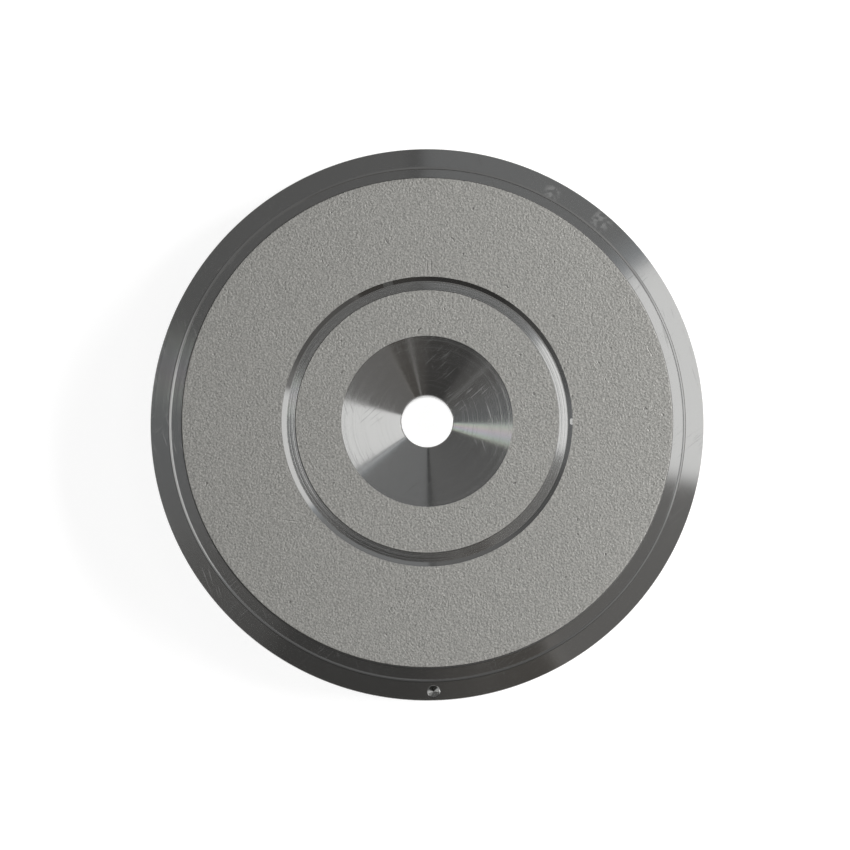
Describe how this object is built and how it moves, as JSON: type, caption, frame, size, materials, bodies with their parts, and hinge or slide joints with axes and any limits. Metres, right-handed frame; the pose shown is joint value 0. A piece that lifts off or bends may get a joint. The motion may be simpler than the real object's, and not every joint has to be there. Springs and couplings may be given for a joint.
{
  "type": "turbocharger back plate",
  "caption": "Round aluminium plate with a turned clamping rim, raised cast face, ring groove and central shaft bore.",
  "frame": {"origin": "centre of the flat compressor-side face, on the shaft's axis", "axes": "+Z along the shaft's axis, from the compressor side to the bearing-housing side; -Y through the dowel hole"},
  "size_m": [0.13, 0.13, 0.0105],
  "materials": {
    "cast_aluminium": "blasted casting with a fine dull grain, turned to a bright finish on the rim, groove, seat, bore and underside"
  },
  "bodies": {
    "root": {"back_plate": "cast_aluminium"}
  },
  "joints": []
}
